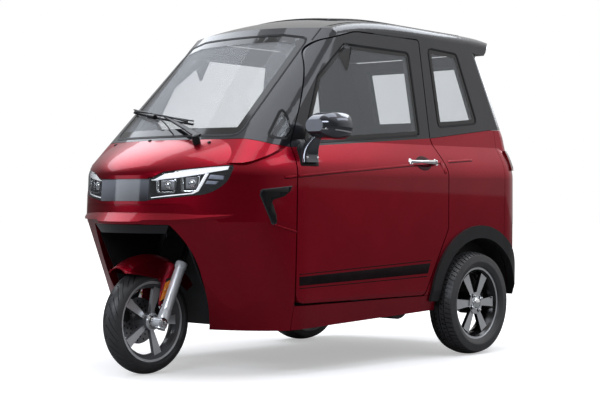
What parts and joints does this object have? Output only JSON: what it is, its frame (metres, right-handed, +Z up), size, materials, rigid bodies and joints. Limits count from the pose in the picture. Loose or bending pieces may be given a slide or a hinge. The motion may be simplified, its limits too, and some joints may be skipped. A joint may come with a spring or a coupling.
{
  "type": "three wheeled cabin car",
  "caption": "Small closed-cabin car with a single steered front wheel in a fork, driven rear wheels, hinged doors and a top-hinged tailgate.",
  "frame": {"origin": "the mount ground: on the ground, midway between the flanks and midway along the car", "axes": "+Z up, nose towards -Y, the car's left side is +X"},
  "size_m": [1.3944, 2.302, 1.618],
  "materials": {
    "red_paint": "gloss metallic",
    "black_gloss": "gloss",
    "black_matte": "matte",
    "glass": "clear, lightly tinted",
    "lamp_glass": "clear",
    "lamp_reflector": "bright",
    "chrome": "polished",
    "tail_red": "gloss",
    "tyre": "matte",
    "alloy": "machined and painted",
    "steel": "brushed",
    "chassis_black": "satin",
    "seat": "matte"
  },
  "bodies": {
    "body": {"floor_pan": "chassis_black", "front_shell": "red_paint", "wheel_well": "black_matte", "nose_bar": "black_matte", "nose_band": "black_gloss", "headlamp_units": "lamp_reflector", "headlamp_lenses": "lamp_glass", "cab_frame": "black_gloss", "windscreen": "glass", "quarter_windows": "glass", "corner_windows": "glass", "rear_quarters": "red_paint", "sill_panels": "red_paint", "rear_shell": "red_paint", "arch_flares": "black_matte", "tail_lamps": "tail_red", "dashboard": "black_matte", "driver_seat": "seat", "battery_box": "black_matte", "rear_bench": "seat", "wheelhouses": "black_matte", "rear_axle": "chassis_black", "steering_head": "chassis_black", "rear_suspension": "chassis_black", "sunroof_panel": "black_gloss", "rear_spoiler": "black_gloss"},
    "left_door": {"left_door": "red_paint", "left_door_frame": "black_gloss", "left_door_glass": "glass", "left_door_handle": "chrome", "left_mirror": "black_gloss"},
    "right_door": {"right_door": "red_paint", "right_door_frame": "black_gloss", "right_door_glass": "glass", "right_door_handle": "chrome", "right_mirror": "black_gloss"},
    "tailgate": {"tailgate": "red_paint", "tailgate_frame": "black_gloss", "rear_window": "glass"},
    "fork": {"fork_sliders": "alloy", "fork_tubes": "chrome", "handlebar": "black_matte", "front_mudguard": "red_paint", "brake_caliper": "chassis_black"},
    "front_wheel": {"front_tyre": "tyre", "front_rim": "alloy", "brake_disc": "steel"},
    "rear_left_wheel": {"rear_left_tyre": "tyre", "rear_left_rim": "alloy"},
    "rear_right_wheel": {"rear_right_tyre": "tyre", "rear_right_rim": "alloy"}
  },
  "joints": [
    {"name": "steering", "type": "hinge", "parent": "body", "child": "fork", "pos_m": [0, -0.865, 0.226], "axis": [0, 0.4226, 0.9063], "range_deg": [-35, 35]},
    {"name": "front_wheel_spin", "type": "hinge", "parent": "fork", "child": "front_wheel", "pos_m": [0, -0.925, 0.226], "axis": [1, 0, 0], "continuous": true},
    {"name": "rear_left_wheel_spin", "type": "hinge", "parent": "body", "child": "rear_left_wheel", "pos_m": [0.5475, 0.675, 0.247], "axis": [1, 0, 0], "continuous": true},
    {"name": "rear_right_wheel_spin", "type": "hinge", "parent": "body", "child": "rear_right_wheel", "pos_m": [-0.5475, 0.675, 0.247], "axis": [1, 0, 0], "continuous": true},
    {"name": "left_door_hinge", "type": "hinge", "parent": "body", "child": "left_door", "pos_m": [0.582, -0.588, 0.65], "axis": [0, 0, -1], "range_deg": [0, 65]},
    {"name": "right_door_hinge", "type": "hinge", "parent": "body", "child": "right_door", "pos_m": [-0.582, -0.588, 0.65], "axis": [0, 0, 1], "range_deg": [0, 65]},
    {"name": "tailgate_hinge", "type": "hinge", "parent": "body", "child": "tailgate", "pos_m": [0, 0.958, 1.484], "axis": [1, 0, 0], "range_deg": [0, 62]}
  ]
}
